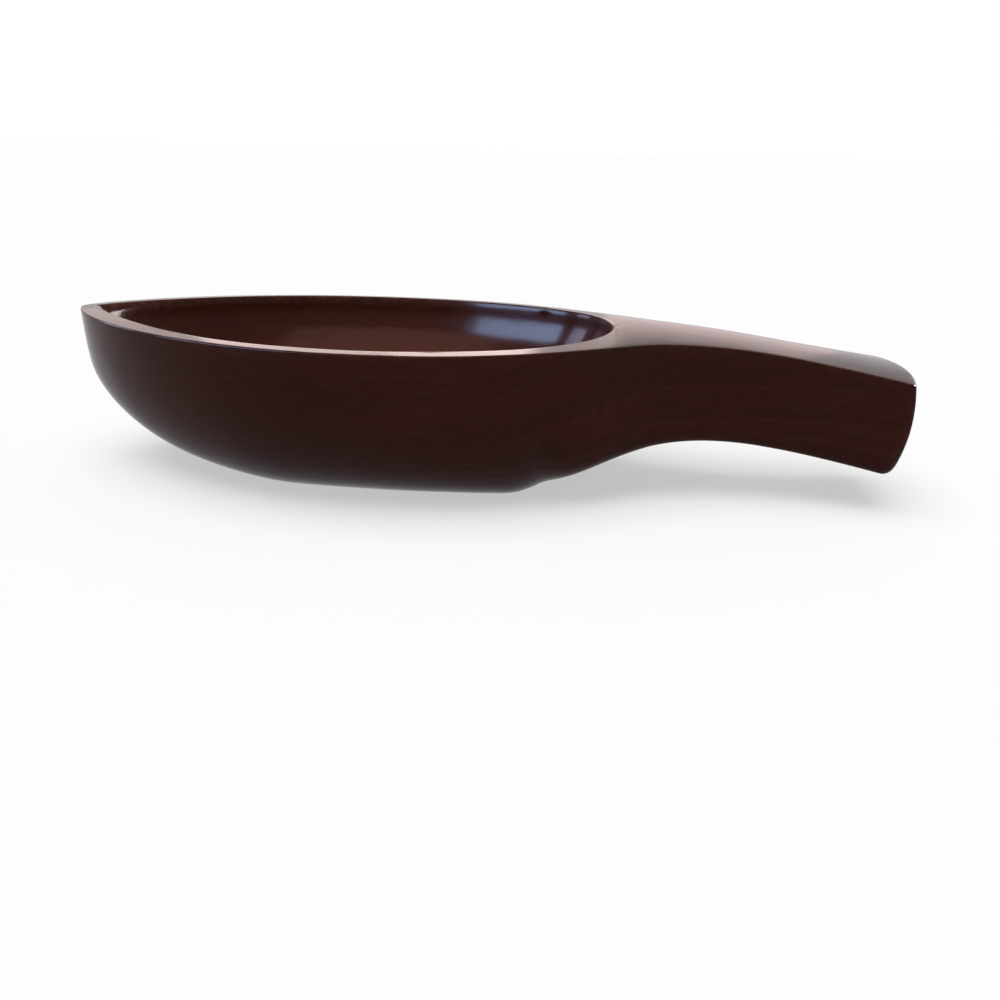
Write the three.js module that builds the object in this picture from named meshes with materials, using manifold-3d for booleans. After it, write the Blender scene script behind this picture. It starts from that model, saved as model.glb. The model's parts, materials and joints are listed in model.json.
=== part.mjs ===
// Serving dish carved from one block of wood: a boat-shaped bowl with a pointed nose and a hollow, and a
// short handle that narrows to a waist, flares to a domed end and droops a little.
// Millimetres, +Z up, +X from the nose to the handle. The origin is the middle of the flat foot, on the
// surface that the dish stands on.
import * as THREE from 'three';
import { mergeVertices } from 'three/addons/utils/BufferGeometryUtils.js';
import Module from 'manifold-3d';

// Lengths along the dish, each one from the end of the one before, starting at the tip of the nose
const NOSE_TO_BEAM = 162;
const BEAM_TO_ROOT = 140;
const ROOT_TO_WAIST = 66;
const WAIST_TO_END = 60.5;
const NOSE_TO_ORIGIN = 167.5;

// Widths across the dish, at the widest place, at the handle's root, waist and end
const BEAM_WIDTH = 154;
const ROOT_WIDTH = 64;
const WAIST_WIDTH = 44.6;
const END_WIDTH = 61;

// Heights. The rim is lowest at the sheer's low point and rises a little towards the nose.
const RIM_HEIGHT = 80;
const NOSE_RISE = 1.8;
const NOSE_TO_SHEER_LOW = 175;
const STEM_DEPTH = 27;
const HANDLE_THICKNESS = 47.3;

// The handle bends down through the stretch from just before its root to well past it.
const HANDLE_DROOP_DEG = 7.8;
const DROOP_BEFORE_ROOT = 17;
const DROOP_PAST_ROOT = 56;

// Underside: a round belly planed flat for the foot, the prow's run down to it and the heel's run up from it
const FOOT_PLANING = 4;
const PROW_RUN = 125;
const HEEL_RUN = 127;

// Hollow: what is left standing around and below it, and the runs down to its floor
const RIM_WIDTH = 7;
const NOSE_LAND = 13;
const HEEL_LAND = 21;
const FLOOR_THICKNESS = 18;
const HOLLOW_PROW_RUN = 112;
const HOLLOW_HEEL_RUN = 92;

// Rounded outer edge of the top, and the top's crown for each millimetre of half width
const EDGE_RADIUS = 1;
const TOP_CROWN = 0.035;

// The handle's end is a dome whose tip lies above the middle of the handle's thickness: how far it bulges
// in plan and in side view, and how its edge is rounded
const DOME_TIP_RISE = 6;
const END_BULGE_PLAN = 5;
const END_BULGE_SIDE = 3.4;
const END_EDGE_RADIUS = 2;
const END_LOWER_EDGE_RADIUS = 6;

// Fullness of the curves: the share of its own stretch over which a curve leans on the line at its end
const NOSE_BLUNTNESS = 0.205;
const BOW_FULLNESS = 0.62;
const QUARTER_FULLNESS = 0.53;
const ROOT_ENTRY = { share: 0.3, slope: -0.49 };
const ROOT_EXIT = { share: 0.24, slope: -0.35 };
const WAIST_FULLNESS = { before: 0.35, after: 0.3 };
const END_FLARE = { share: 0.33, slope: 0.2 };
const STEM_CURVE = { forward: 0.044, down: 0.3 };
const KEEL_FULLNESS = { prow: 0.51, heel: 0.233, handle: 0.685 };
const HOLLOW_NOSE = { forward: 0.06, across: 0.2 };
const HOLLOW_FULLNESS = { bow: 0.64, quarter: 0.41, end: 0.73 };
const HOLLOW_FLOOR_CURVE = { plunge: 0.6, forward: 0.1, prow: 0.6, heel: 0.55 };

// Powers of the superellipse that a cross-section follows, across its depth and across its width. With
// powers of 2 it is round, and with high powers it is a box with rounded corners.
const NOSE_SECTION = { depth: 2.6, width: 4 };
const BELLY_SECTION = { depth: 2.7, width: 2.5 };
const HANDLE_SECTION = { depth: 14, width: 12 };
const HOLLOW_SECTION = { depth: 2, width: 2.3 };

// Where one section turns into the next: a run from the nose, and a run that ends at the handle's root
const NOSE_BLEND_RUN = 97;
const HEEL_BLEND_RUN = 54;

// How finely the surfaces are divided
const PROW_STEPS = 12;
const BOWL_STEPS = 24;
const HANDLE_STEPS = 14;
const END_EDGE_STEPS = 4;
const DOME_STEPS = 5;
const TOP_STEPS = 5;
const EDGE_STEPS = 3;
const FLANK_STEPS = 14;
const HOLLOW_STEPS = 34;
const WALL_STEPS = 12;
const PROW_STATIONS_RUN = 60;

// How far the cutting solids reach past the surfaces that they cut
const CUT_REACH = 10;

// Places along the dish that follow from its lengths
const ROOT_X = NOSE_TO_BEAM + BEAM_TO_ROOT;
const WAIST_X = ROOT_X + ROOT_TO_WAIST;
const END_X = WAIST_X + WAIST_TO_END;
const DROOP_START_X = ROOT_X - DROOP_BEFORE_ROOT;
const DROOP_END_X = ROOT_X + DROOP_PAST_ROOT;
const DROOP_SLOPE = -Math.tan(THREE.MathUtils.degToRad(HANDLE_DROOP_DEG));
const HOLLOW_END_X = ROOT_X - HEEL_LAND;
const BELLY_DEPTH = RIM_HEIGHT + FOOT_PLANING;
const HOLLOW_DEPTH = RIM_HEIGHT - FLOOR_THICKNESS;

// A cubic curve of a plan or a side view, from its four control points
function cubic(...points) {
  return new THREE.CubicBezierCurve(...points.map(([x, value]) => new THREE.Vector2(x, value)));
}

function straight(start, end) {
  return cubic(start, start, end, end);
}

// The value at the place x on a chain of curves that runs on in x
function valueAt(curves, x) {
  const curve = curves.find((candidate) => x <= candidate.v3.x) ?? curves.at(-1);
  let low = 0;
  let high = 1;
  for (let halving = 0; halving < 40; halving += 1) {
    const middle = (low + high) / 2;
    if (curve.getPoint(middle).x < x) {
      low = middle;
    } else {
      high = middle;
    }
  }
  return curve.getPoint(high).y;
}

// Plan: half the width from the nose over the beam, the root and the waist to the handle's end
const HALF_BEAM = BEAM_WIDTH / 2;
const HALF_ROOT = ROOT_WIDTH / 2;
const HALF_WAIST = WAIST_WIDTH / 2;
const HALF_END = END_WIDTH / 2;
const ROOT_ENTRY_RUN = ROOT_ENTRY.share * BEAM_TO_ROOT;
const ROOT_EXIT_RUN = ROOT_EXIT.share * ROOT_TO_WAIST;
const END_FLARE_RUN = END_FLARE.share * WAIST_TO_END;
const PLAN = [
  cubic(
    [0, 0],
    [0, NOSE_BLUNTNESS * HALF_BEAM],
    [NOSE_TO_BEAM * (1 - BOW_FULLNESS), HALF_BEAM],
    [NOSE_TO_BEAM, HALF_BEAM],
  ),
  cubic(
    [NOSE_TO_BEAM, HALF_BEAM],
    [NOSE_TO_BEAM + QUARTER_FULLNESS * BEAM_TO_ROOT, HALF_BEAM],
    [ROOT_X - ROOT_ENTRY_RUN, HALF_ROOT - ROOT_ENTRY.slope * ROOT_ENTRY_RUN],
    [ROOT_X, HALF_ROOT],
  ),
  cubic(
    [ROOT_X, HALF_ROOT],
    [ROOT_X + ROOT_EXIT_RUN, HALF_ROOT + ROOT_EXIT.slope * ROOT_EXIT_RUN],
    [WAIST_X - WAIST_FULLNESS.before * ROOT_TO_WAIST, HALF_WAIST],
    [WAIST_X, HALF_WAIST],
  ),
  cubic(
    [WAIST_X, HALF_WAIST],
    [WAIST_X + WAIST_FULLNESS.after * WAIST_TO_END, HALF_WAIST],
    [END_X - END_FLARE_RUN, HALF_END - END_FLARE.slope * END_FLARE_RUN],
    [END_X, HALF_END],
  ),
];

// Top line, above the rim's middle: the sheer, the bend of the droop and the straight handle
function sheer(x) {
  return NOSE_RISE * ((x - NOSE_TO_SHEER_LOW) / NOSE_TO_SHEER_LOW) ** 2;
}

function topLine(x) {
  if (x <= DROOP_START_X) {
    return sheer(x);
  }
  const startSlope = (2 * NOSE_RISE * (DROOP_START_X - NOSE_TO_SHEER_LOW)) / NOSE_TO_SHEER_LOW ** 2;
  const bend = DROOP_END_X - DROOP_START_X;
  const along = Math.min(x, DROOP_END_X) - DROOP_START_X;
  const bent = startSlope * along + ((DROOP_SLOPE - startSlope) * along ** 2) / (2 * bend);
  return sheer(DROOP_START_X) + bent + DROOP_SLOPE * Math.max(0, x - DROOP_END_X);
}

// Bottom line, below the rim's middle: the prow, the belly, the heel and the handle's underside
const UNDERSIDE_START = topLine(DROOP_END_X) - HANDLE_THICKNESS;
const HEEL_START_X = DROOP_END_X - HEEL_RUN;
const HEEL_ARRIVAL_RUN = KEEL_FULLNESS.handle * HEEL_RUN;
const KEEL = [
  cubic(
    [0, -STEM_DEPTH],
    [STEM_CURVE.forward * PROW_RUN, -STEM_DEPTH - STEM_CURVE.down * (BELLY_DEPTH - STEM_DEPTH)],
    [PROW_RUN * (1 - KEEL_FULLNESS.prow), -BELLY_DEPTH],
    [PROW_RUN, -BELLY_DEPTH],
  ),
  straight([PROW_RUN, -BELLY_DEPTH], [HEEL_START_X, -BELLY_DEPTH]),
  cubic(
    [HEEL_START_X, -BELLY_DEPTH],
    [HEEL_START_X + KEEL_FULLNESS.heel * HEEL_RUN, -BELLY_DEPTH],
    [DROOP_END_X - HEEL_ARRIVAL_RUN, UNDERSIDE_START - DROOP_SLOPE * HEEL_ARRIVAL_RUN],
    [DROOP_END_X, UNDERSIDE_START],
  ),
];

function bottomLine(x) {
  return x < DROOP_END_X ? valueAt(KEEL, x) : topLine(x) - HANDLE_THICKNESS;
}

// How much of the next section is in the one at x, from 0 before the stretch to 1 after it
function blend(x, from, to) {
  return THREE.MathUtils.smoothstep(x, from, to);
}

function sectionPowers(x) {
  const belly = blend(x, 0, NOSE_BLEND_RUN);
  const handle = blend(x, ROOT_X - HEEL_BLEND_RUN, ROOT_X);
  const mixed = (part) => {
    const bow = THREE.MathUtils.lerp(NOSE_SECTION[part], BELLY_SECTION[part], belly);
    return THREE.MathUtils.lerp(bow, HANDLE_SECTION[part], handle);
  };
  return { depth: mixed('depth'), width: mixed('width') };
}

// The lower half of a superellipse, from its widest place down to its middle, as [y, z] points. The higher
// its powers, the sharper it turns, so the angles are eased at both ends and the points spread out.
function superellipse(halfWidth, top, depth, powers, steps) {
  const easing = (2 + powers.depth) / 4;
  return Array.from({ length: steps }, (_, index) => {
    const passed = ((index + 1) / steps) ** easing;
    const left = (1 - (index + 1) / steps) ** easing;
    const share = passed / (passed + left);
    const across = Math.sin((Math.PI / 2) * (1 - share)) ** (2 / powers.width);
    const down = Math.sin((Math.PI / 2) * share) ** (2 / powers.depth);
    return [halfWidth * across, top - depth * down];
  });
}

// A closed ring of points in the dish's frame, from the half of it that runs from the middle of its top to
// the middle of its bottom as [x, y, z] points, with x from the nose and z from the rim
function ring(half) {
  const other = half.slice(1, -1).reverse().map(([x, y, z]) => [x, -y, z]);
  return [...half, ...other].map(([x, y, z]) => new THREE.Vector3(x - NOSE_TO_ORIGIN, y, RIM_HEIGHT + z));
}

// Half of the outside at the place x as [y, z] points: crowned top, rounded edge, then the flank to the keel
function crossSection(x) {
  const top = topLine(x);
  const bottom = bottomLine(x);
  const halfWidth = valueAt(PLAN, x);
  const radius = Math.min(EDGE_RADIUS, halfWidth / 2);
  const shoulder = halfWidth - radius;
  const half = [];
  for (let step = 0; step <= TOP_STEPS; step += 1) {
    const share = step / TOP_STEPS;
    half.push([shoulder * share, top + TOP_CROWN * halfWidth * (1 - share ** 2)]);
  }
  for (let step = 1; step <= EDGE_STEPS; step += 1) {
    const angle = ((Math.PI / 2) * step) / EDGE_STEPS;
    half.push([shoulder + radius * Math.sin(angle), top - radius * (1 - Math.cos(angle))]);
  }
  half.push(...superellipse(halfWidth, top - radius, top - radius - bottom, sectionPowers(x), FLANK_STEPS));
  return half;
}

// Middle of the handle's thickness, and how far its domed end lies behind the dome's tip at a place that
// rises so far above that middle
function handleMiddle(x) {
  return topLine(x) - HANDLE_THICKNESS / 2;
}

function domeSag(y, rise) {
  const fromTip = (2 * (rise - DOME_TIP_RISE)) / HANDLE_THICKNESS;
  return END_BULGE_PLAN * (y / HALF_END) ** 2 + END_BULGE_SIDE * fromTip ** 2;
}

// A point of the outside, shifted back by the dome's bulge, which grows from nothing at the waist
function bulged(x, y, z) {
  const share = Math.max(0, x - WAIST_X) / WAIST_TO_END;
  return [x - share * domeSag(y, z - handleMiddle(x)), y, z];
}

function outerRing(x) {
  return ring(crossSection(x).map(([y, z]) => bulged(x, y, z)));
}

// The handle's end: its rounded edge, whose radius grows towards the bottom, then the dome in to its middle
function endRings() {
  const toCorner = Math.hypot(HALF_END, HANDLE_THICKNESS / 2);
  const radii = crossSection(END_X).map(([, z]) => {
    const lowness = THREE.MathUtils.clamp((2 * (handleMiddle(END_X) - z)) / HANDLE_THICKNESS, 0, 1);
    return THREE.MathUtils.lerp(END_EDGE_RADIUS, END_LOWER_EDGE_RADIUS, lowness);
  });
  const shrunkRing = (angle, share) => ring(radii.map((radius, place) => {
    const x = END_X - radius * (1 - Math.sin(angle));
    const [y, z] = crossSection(x)[place];
    const kept = share * (1 - (radius * (1 - Math.cos(angle))) / toCorner);
    return bulged(x, y * kept, THREE.MathUtils.lerp(handleMiddle(x), z, kept));
  }));
  const rings = [];
  for (let step = 0; step < END_EDGE_STEPS; step += 1) {
    rings.push(shrunkRing(((Math.PI / 2) * step) / END_EDGE_STEPS, 1));
  }
  for (let step = 0; step <= DOME_STEPS; step += 1) {
    rings.push(shrunkRing(Math.PI / 2, 1 - step / DOME_STEPS));
  }
  return rings;
}

// Hollow: half its width at the rim, and its depth below the rim, from its nose end to its heel end
const HALF_HOLLOW = HALF_BEAM - RIM_WIDTH;
const HOLLOW_BOW = NOSE_TO_BEAM - NOSE_LAND;
const HOLLOW_QUARTER = HOLLOW_END_X - NOSE_TO_BEAM;
const HOLLOW_PLAN = [
  cubic(
    [NOSE_LAND, 0],
    [NOSE_LAND + HOLLOW_NOSE.forward * HOLLOW_BOW, HOLLOW_NOSE.across * HALF_HOLLOW],
    [NOSE_TO_BEAM - HOLLOW_FULLNESS.bow * HOLLOW_BOW, HALF_HOLLOW],
    [NOSE_TO_BEAM, HALF_HOLLOW],
  ),
  cubic(
    [NOSE_TO_BEAM, HALF_HOLLOW],
    [NOSE_TO_BEAM + HOLLOW_FULLNESS.quarter * HOLLOW_QUARTER, HALF_HOLLOW],
    [HOLLOW_END_X, HOLLOW_FULLNESS.end * HALF_HOLLOW],
    [HOLLOW_END_X, 0],
  ),
];
const FLOOR_START_X = NOSE_LAND + HOLLOW_PROW_RUN;
const FLOOR_END_X = HOLLOW_END_X - HOLLOW_HEEL_RUN;
const HOLLOW_KEEL = [
  cubic(
    [NOSE_LAND, 0],
    [NOSE_LAND + HOLLOW_FLOOR_CURVE.forward * HOLLOW_PROW_RUN, HOLLOW_FLOOR_CURVE.plunge * HOLLOW_DEPTH],
    [FLOOR_START_X - HOLLOW_FLOOR_CURVE.prow * HOLLOW_PROW_RUN, HOLLOW_DEPTH],
    [FLOOR_START_X, HOLLOW_DEPTH],
  ),
  straight([FLOOR_START_X, HOLLOW_DEPTH], [FLOOR_END_X, HOLLOW_DEPTH]),
  cubic(
    [FLOOR_END_X, HOLLOW_DEPTH],
    [FLOOR_END_X + HOLLOW_FLOOR_CURVE.heel * HOLLOW_HEEL_RUN, HOLLOW_DEPTH],
    [HOLLOW_END_X - HOLLOW_FLOOR_CURVE.forward * HOLLOW_HEEL_RUN, HOLLOW_FLOOR_CURVE.plunge * HOLLOW_DEPTH],
    [HOLLOW_END_X, 0],
  ),
];

function hollowRing(x) {
  const halfWidth = valueAt(HOLLOW_PLAN, x);
  const top = topLine(x);
  const lid = top + CUT_REACH;
  const wall = superellipse(halfWidth, top, valueAt(HOLLOW_KEEL, x), HOLLOW_SECTION, WALL_STEPS);
  return ring([[0, lid], [halfWidth, lid], [halfWidth, top], ...wall].map(([y, z]) => [x, y, z]));
}

// Places of the rings, closer together where the outline turns faster
function outerStations() {
  const places = [];
  for (let step = 0; step < PROW_STEPS; step += 1) {
    places.push(PROW_STATIONS_RUN * (step / PROW_STEPS) ** 2);
  }
  for (let step = 0; step < BOWL_STEPS; step += 1) {
    places.push(THREE.MathUtils.lerp(PROW_STATIONS_RUN, ROOT_X, step / BOWL_STEPS));
  }
  for (let step = 0; step < HANDLE_STEPS; step += 1) {
    places.push(THREE.MathUtils.lerp(ROOT_X, END_X - END_LOWER_EDGE_RADIUS, step / HANDLE_STEPS));
  }
  return places;
}

function hollowStations() {
  return Array.from({ length: HOLLOW_STEPS + 1 }, (_, index) => {
    const share = (1 - Math.cos((Math.PI * index) / HOLLOW_STEPS)) / 2;
    return THREE.MathUtils.lerp(NOSE_LAND, HOLLOW_END_X, share);
  });
}

// Skin over a row of rings. The first and last rings close on themselves as a line or a point.
function skin(rings) {
  const count = rings[0].length;
  const index = [];
  for (let row = 0; row < rings.length - 1; row += 1) {
    for (let step = 0; step < count; step += 1) {
      const here = row * count + step;
      const beside = row * count + ((step + 1) % count);
      index.push(here, here + count, beside, beside, here + count, beside + count);
    }
  }
  const geometry = new THREE.BufferGeometry().setFromPoints(rings.flat());
  geometry.setIndex(index);
  return geometry;
}

// Closed solid from a geometry whose equal points are merged and whose empty triangles are dropped
function toSolid(wasm, geometry) {
  geometry.deleteAttribute('normal');
  geometry.deleteAttribute('uv');
  const merged = mergeVertices(geometry);
  const corners = merged.index.array;
  const kept = [];
  for (let first = 0; first < corners.length; first += 3) {
    const triangle = corners.slice(first, first + 3);
    if (new Set(triangle).size === 3) {
      kept.push(...triangle);
    }
  }
  const mesh = new wasm.Mesh({
    numProp: 3,
    vertProperties: new Float32Array(merged.attributes.position.array),
    triVerts: new Uint32Array(kept),
  });
  return new wasm.Manifold(mesh);
}

function toGeometry(solid) {
  const { vertProperties, triVerts } = solid.getMesh();
  const geometry = new THREE.BufferGeometry();
  geometry.setAttribute('position', new THREE.BufferAttribute(vertProperties, 3));
  geometry.setIndex(new THREE.BufferAttribute(triVerts, 1));
  geometry.computeVertexNormals();
  return geometry;
}

// Everything below the standing surface, which planes the foot flat
function groundBlock() {
  const depth = FOOT_PLANING + CUT_REACH;
  const block = new THREE.BoxGeometry(END_X, BEAM_WIDTH, depth);
  block.translate(END_X / 2 - NOSE_TO_ORIGIN, 0, -depth / 2);
  return block;
}

const wasm = await Module();
wasm.setup();

const block = toSolid(wasm, skin([...outerStations().map(outerRing), ...endRings()]));
const hollow = toSolid(wasm, skin(hollowStations().map(hollowRing)));
const carved = block.subtract(hollow).subtract(toSolid(wasm, groundBlock()));

const redBrownWood = new THREE.MeshStandardMaterial({ color: 0x4a1f17, roughness: 0.28, metalness: 0 });
const dish = new THREE.Mesh(toGeometry(carved), redBrownWood);
dish.name = 'dish';

const servingDish = new THREE.Group();
servingDish.add(dish);

export default servingDish;
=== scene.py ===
"""A wooden serving dish, carved from one block and polished, in a plain pale studio.

A Geometry Nodes tree works the dish out from its named sizes, as a carver lays it out: a plan, a
side view, and a rule for the sections between them. Metres, +Z up, +X from the nose to the handle.
"""

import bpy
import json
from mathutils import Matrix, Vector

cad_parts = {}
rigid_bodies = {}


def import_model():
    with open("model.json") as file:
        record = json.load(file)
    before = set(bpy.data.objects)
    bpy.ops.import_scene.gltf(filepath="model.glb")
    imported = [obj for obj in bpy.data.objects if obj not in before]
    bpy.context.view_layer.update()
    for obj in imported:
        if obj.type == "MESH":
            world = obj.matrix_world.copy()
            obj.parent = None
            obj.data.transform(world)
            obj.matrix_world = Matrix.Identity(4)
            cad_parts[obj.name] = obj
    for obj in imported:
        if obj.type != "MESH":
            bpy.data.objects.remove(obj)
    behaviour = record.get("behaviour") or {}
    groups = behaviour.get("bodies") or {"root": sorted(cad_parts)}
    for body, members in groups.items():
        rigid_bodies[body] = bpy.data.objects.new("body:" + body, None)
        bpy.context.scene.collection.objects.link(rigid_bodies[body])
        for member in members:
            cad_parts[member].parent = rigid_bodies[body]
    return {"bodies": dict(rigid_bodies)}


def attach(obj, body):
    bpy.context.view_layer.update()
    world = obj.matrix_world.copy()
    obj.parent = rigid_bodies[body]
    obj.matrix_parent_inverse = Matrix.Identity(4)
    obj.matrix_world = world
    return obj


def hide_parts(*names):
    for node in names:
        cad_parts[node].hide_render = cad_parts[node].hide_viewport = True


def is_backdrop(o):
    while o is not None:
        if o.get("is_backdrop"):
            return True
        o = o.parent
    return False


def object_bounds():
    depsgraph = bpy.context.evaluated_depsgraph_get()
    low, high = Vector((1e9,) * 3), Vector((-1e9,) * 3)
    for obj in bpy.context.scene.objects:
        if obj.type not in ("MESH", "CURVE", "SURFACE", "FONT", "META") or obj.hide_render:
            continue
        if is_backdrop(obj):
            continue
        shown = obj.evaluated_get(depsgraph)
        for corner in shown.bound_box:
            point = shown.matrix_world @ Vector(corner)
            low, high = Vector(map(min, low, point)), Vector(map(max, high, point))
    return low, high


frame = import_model()
CAD_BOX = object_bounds()

import inspect
import json
import logging
import math
from collections.abc import Callable, Iterator
from dataclasses import dataclass, fields, is_dataclass, replace
from enum import Enum
from functools import wraps
from typing import Any, TypeVar, Union

import bmesh
import bpy
from mathutils import Matrix, Vector

log = logging.getLogger("serving_dish")

QUARTER_TURN = math.pi / 2
TINY_SHARE = 0.001
NOISE_MEAN = 0.5
WEAR = "wear"
# Attribute for the painted glow: wood colour lifted lighter and warmer in the hollow, standing for light bounced
# inside it.
SHELTER = "shelter"

Number = Union["Value", float]
Pair = tuple[Number, Number]
Triple = tuple[float, float, float]
Part = TypeVar("Part")


def operator(operation: str, swapped: bool = False) -> Callable[["Value", Number], "Value"]:
    """Makes the method that stands behind one of Python's operators.

    Args:
        operation: the math node's operation.
        swapped: whether the other number comes first.

    Returns:
        The method.
    """

    def result(value: "Value", other: Number) -> "Value":
        """Gives the operation's result."""
        return value.tree.maths(operation, *((other, value) if swapped else (value, other)))

    return result


class Value:
    """A number that a node tree works out. Formulas use it as they use a plain number."""

    def __init__(self, tree: "Tree", socket: bpy.types.NodeSocket) -> None:
        """Keeps the tree that works the number out and the output socket that it comes out of."""
        self.tree = tree
        self.socket = socket

    __add__ = operator("ADD")
    __radd__ = operator("ADD", swapped=True)
    __sub__ = operator("SUBTRACT")
    __rsub__ = operator("SUBTRACT", swapped=True)
    __mul__ = operator("MULTIPLY")
    __rmul__ = operator("MULTIPLY", swapped=True)
    __truediv__ = operator("DIVIDE")
    __rtruediv__ = operator("DIVIDE", swapped=True)
    __pow__ = operator("POWER")

    def apply(self, operation: str, *others: Number) -> "Value":
        """Gives the result of another of the math node's operations, with its further operands."""
        return self.tree.maths(operation, self, *others)

    def held(self, low: Number, high: Number) -> "Value":
        """Gives the number held between two others."""
        return self.apply("MAXIMUM", low).apply("MINIMUM", high)


class Tree:
    """A node tree under construction, of a material or of a shape."""

    NODES_IN_A_COLUMN = 12
    NODE_SPACING = (190, 170)

    def __init__(self, group: bpy.types.NodeTree) -> None:
        """Takes over the tree that the nodes go into, and clears it."""
        self.group = group
        self.group.nodes.clear()

    @classmethod
    def of(cls, owner: bpy.types.Material | bpy.types.World) -> "Tree":
        """Starts the tree of a material or of the world."""
        owner.use_nodes = True
        return cls(owner.node_tree)

    def node(self, kind: str, feeds: dict[Any, Any] | None = None, **settings: Any) -> bpy.types.Node:
        """Adds a node.

        Args:
            kind: the node's type.
            feeds: what goes into its inputs, by the input's name or number.
            settings: its other settings.

        Returns:
            The new node.
        """
        count = len(self.group.nodes)
        made = self.group.nodes.new(kind)
        made.location.x = self.NODE_SPACING[0] * (count // self.NODES_IN_A_COLUMN)
        made.location.y = -self.NODE_SPACING[1] * (count % self.NODES_IN_A_COLUMN)
        for name, setting in settings.items():
            setattr(made, name, setting)
        for name, source in (feeds or {}).items():
            self.feed(made.inputs[name], source)
        return made

    def feed(self, socket: bpy.types.NodeSocket, source: Any) -> None:
        """Feeds an input with a link or with a plain value.

        Args:
            socket: the input.
            source: a worked out number, another node's output, or a plain value.
        """
        if isinstance(source, Value):
            source = source.socket
        if isinstance(source, bpy.types.NodeSocket):
            self.group.links.new(source, socket)
        else:
            socket.default_value = source

    def maths(self, operation: str, *operands: Number) -> Value:
        """Adds a math node for an operation, with its operands in order, and gives its result."""
        made = self.node("ShaderNodeMath", dict(enumerate(operands)), operation=operation)
        return Value(self, made.outputs[0])

    def point(self, x: Number, y: Number, z: Number) -> bpy.types.NodeSocket:
        """Joins three numbers to a point."""
        return self.node("ShaderNodeCombineXYZ", {"X": x, "Y": y, "Z": z}).outputs[0]

    def parts(self, vector: bpy.types.NodeSocket) -> tuple[Value, ...]:
        """Splits a vector into its three numbers."""
        made = self.node("ShaderNodeSeparateXYZ", {"Vector": vector})
        return tuple(Value(self, output) for output in made.outputs)

    def noise(self, place: bpy.types.NodeSocket, scale: Number, detail: int = 2) -> Value:
        """Gives a noise, 0.5 on average, with so many bumps to the unit and so many finer layers."""
        feeds = {"Vector": place, "Scale": scale, "Detail": detail}
        return Value(self, self.node("ShaderNodeTexNoise", feeds).outputs[0])

    def colours(self, share: Number, first: Any, second: Any) -> bpy.types.NodeSocket:
        """Mixes two colours.

        Args:
            share: how much there is of the second.
            first: the first colour.
            second: the second colour.

        Returns:
            The mixed colour.
        """
        made = self.node("ShaderNodeMix", data_type="RGBA")
        colour_inputs = [socket for socket in made.inputs if socket.type == "RGBA"]
        self.feed(made.inputs[0], share)
        for socket, colour in zip(colour_inputs, (first, second)):
            self.feed(socket, (*colour, 1) if isinstance(colour, tuple) else colour)
        return next(output for output in made.outputs if output.type == "RGBA")


def numbers_in(part: Any, name: str) -> list[tuple[str, Number]]:
    """Lists the numbers that a part is made of.

    Args:
        part: a number, or a tuple or a dataclass with numbers and further parts in it.
        name: what the part is called.

    Returns:
        The numbers, each with its name.
    """
    if is_dataclass(part):
        name = type(part).__name__
        members = [(size.name, getattr(part, size.name)) for size in fields(part)]
    elif isinstance(part, tuple):
        members = [(str(place), member) for place, member in enumerate(part, 1)]
    else:
        return [(name.replace("_", " ").capitalize(), part)]
    return [found for inner, member in members for found in numbers_in(member, f"{name} {inner}")]


def with_numbers(part: Part, numbers: Iterator[Number]) -> Part:
    """Makes a copy of a part with other numbers in it.

    Args:
        part: a number, or a tuple or a dataclass with numbers and further parts in it.
        numbers: the new numbers, in the order in which numbers_in lists them.

    Returns:
        The copy.
    """
    if is_dataclass(part):
        sizes = {size.name: with_numbers(getattr(part, size.name), numbers) for size in fields(part)}
        return replace(part, **sizes)
    if isinstance(part, tuple):
        return tuple(with_numbers(member, numbers) for member in part)
    return next(numbers)


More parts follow.
